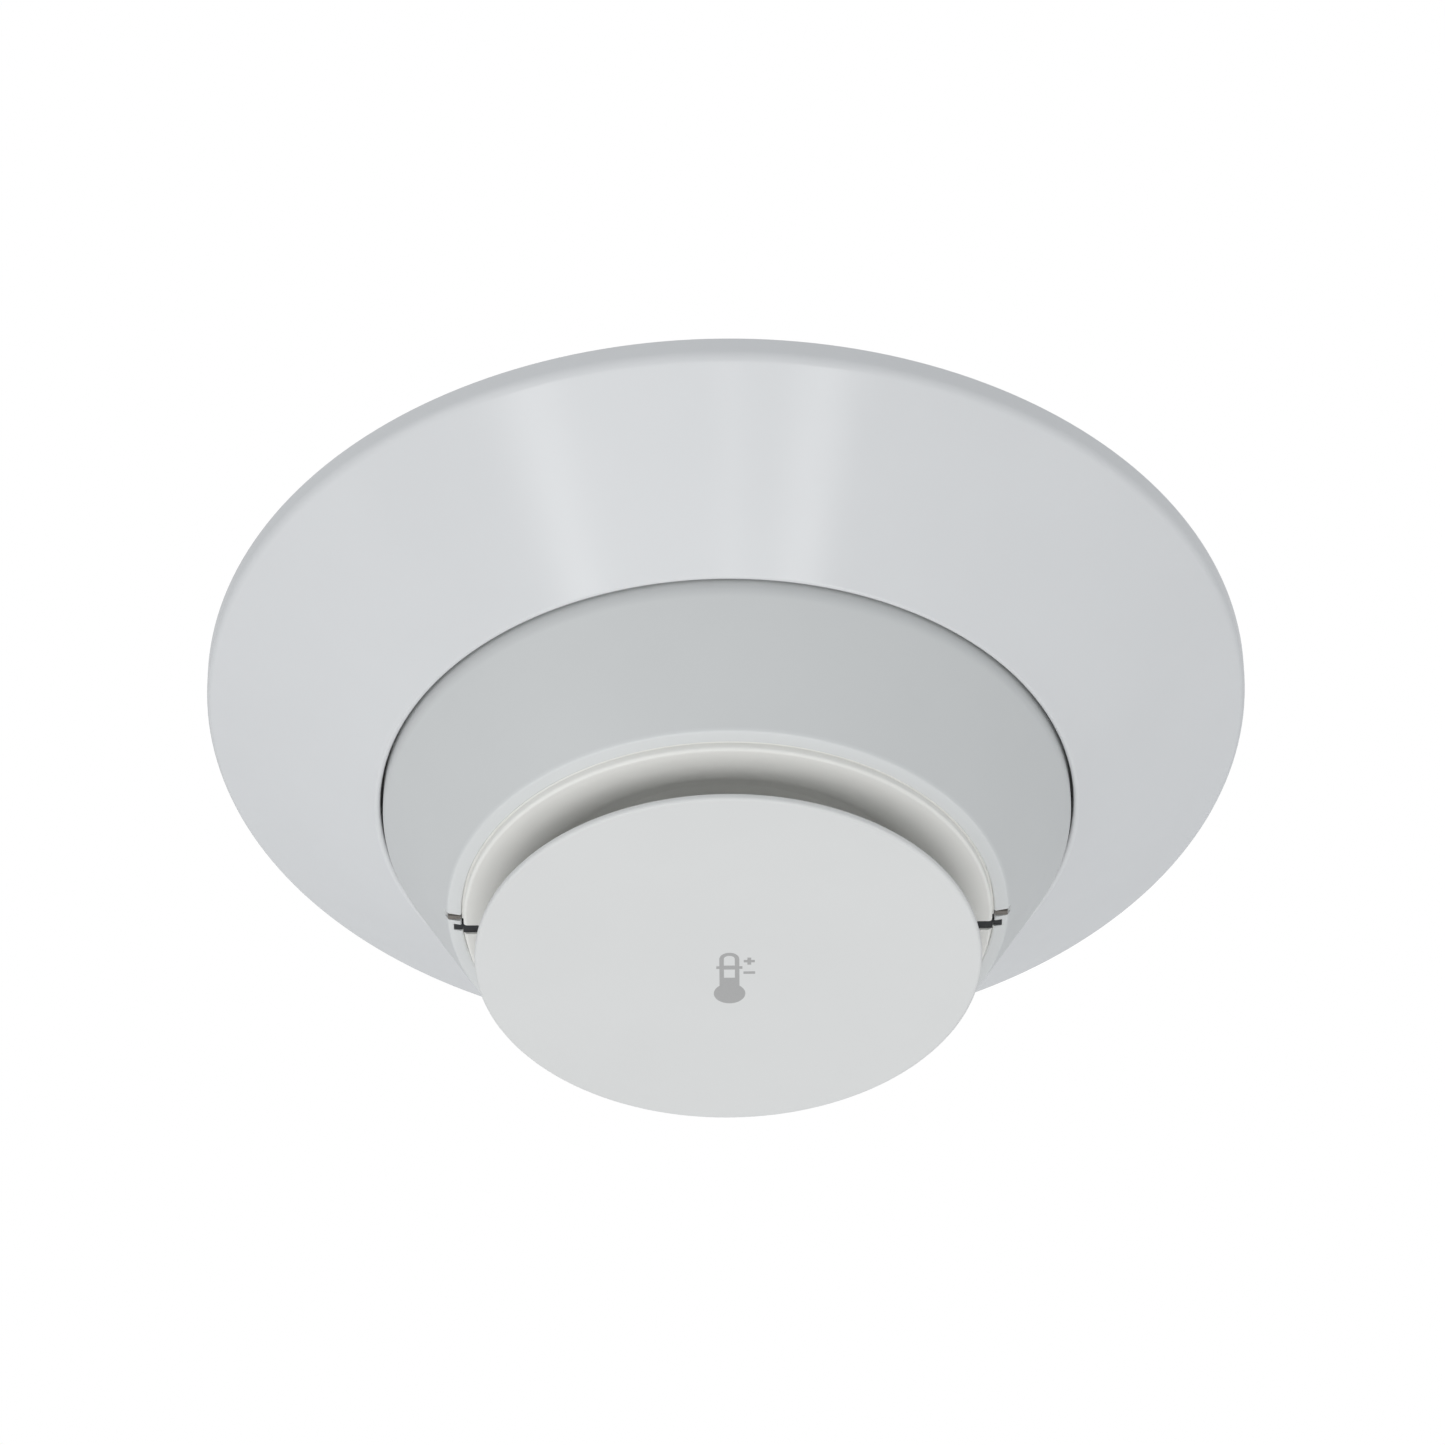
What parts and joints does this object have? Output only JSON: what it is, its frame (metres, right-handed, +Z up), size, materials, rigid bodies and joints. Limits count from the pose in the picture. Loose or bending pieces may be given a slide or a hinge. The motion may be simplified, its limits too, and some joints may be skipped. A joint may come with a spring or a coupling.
{
  "type": "heat detector",
  "caption": "Low-profile ceiling heat detector: flanged base, twist-lock head with open sensing chamber, guard disc and rotary address dials.",
  "frame": {"origin": "centre of the base's ceiling face", "axes": "+Z up into the ceiling along the detector's axis; the two indicator windows lie along X"},
  "size_m": [0.155, 0.155, 0.0515],
  "materials": {
    "base_plastic": "semi-gloss cool white moulding",
    "cover_plastic": "satin white moulding",
    "guard_plastic": "matt white moulding",
    "rear_plastic": "satin off-white moulding",
    "steel": "zinc plated",
    "tinned_brass": "tin plated",
    "board": "solder-masked laminate",
    "epoxy": "moulded epoxy",
    "aluminium_can": "drawn can",
    "light_pipe": "smoked clear acrylic",
    "led_resin": "tinted resin",
    "reed_glass": "clear glass tube",
    "dial_plastic": "moulded nylon",
    "symbol_ink": "pad-printed ink"
  },
  "bodies": {
    "base": {"base_body": "base_plastic", "contact_spring_1": "tinned_brass", "terminal_clamp_1": "tinned_brass", "terminal_screw_1": "steel", "contact_spring_2": "tinned_brass", "terminal_clamp_2": "tinned_brass", "terminal_screw_2": "steel", "contact_spring_3": "tinned_brass", "terminal_clamp_3": "tinned_brass", "terminal_screw_3": "steel", "contact_spring_4": "tinned_brass", "terminal_clamp_4": "tinned_brass", "terminal_screw_4": "steel"},
    "head": {"rear_housing": "rear_plastic", "front_cover": "cover_plastic", "sensing_chamber": "guard_plastic", "guard_disc": "guard_plastic", "circuit_board": "board", "reed_switch": "reed_glass", "controller_chip": "epoxy", "filter_capacitor": "aluminium_can", "surge_suppressor": "epoxy", "contact_blade_1": "tinned_brass", "contact_blade_2": "tinned_brass", "contact_blade_3": "tinned_brass", "contact_blade_4": "tinned_brass", "board_screw_1": "steel", "board_screw_2": "steel", "board_screw_3": "steel", "indicator_led_right": "led_resin", "light_pipe_right": "light_pipe", "thermistor_right": "epoxy", "indicator_led_left": "led_resin", "light_pipe_left": "light_pipe", "thermistor_left": "epoxy", "address_switch_tens": "epoxy", "address_switch_ones": "epoxy"},
    "tens_dial": {"address_dial_tens": "dial_plastic"},
    "ones_dial": {"address_dial_ones": "dial_plastic"}
  },
  "joints": [
    {"name": "head_twist", "type": "hinge", "parent": "base", "child": "head", "pos_m": [0, 0, -0.0133], "axis": [0, 0, 1], "range_deg": [-18, 0]},
    {"name": "tens_dial_turn", "type": "hinge", "parent": "head", "child": "tens_dial", "pos_m": [-0.009, 0, -0.0132], "axis": [0, 0, 1], "continuous": true},
    {"name": "ones_dial_turn", "type": "hinge", "parent": "head", "child": "ones_dial", "pos_m": [0.009, 0, -0.0132], "axis": [0, 0, 1], "continuous": true}
  ]
}
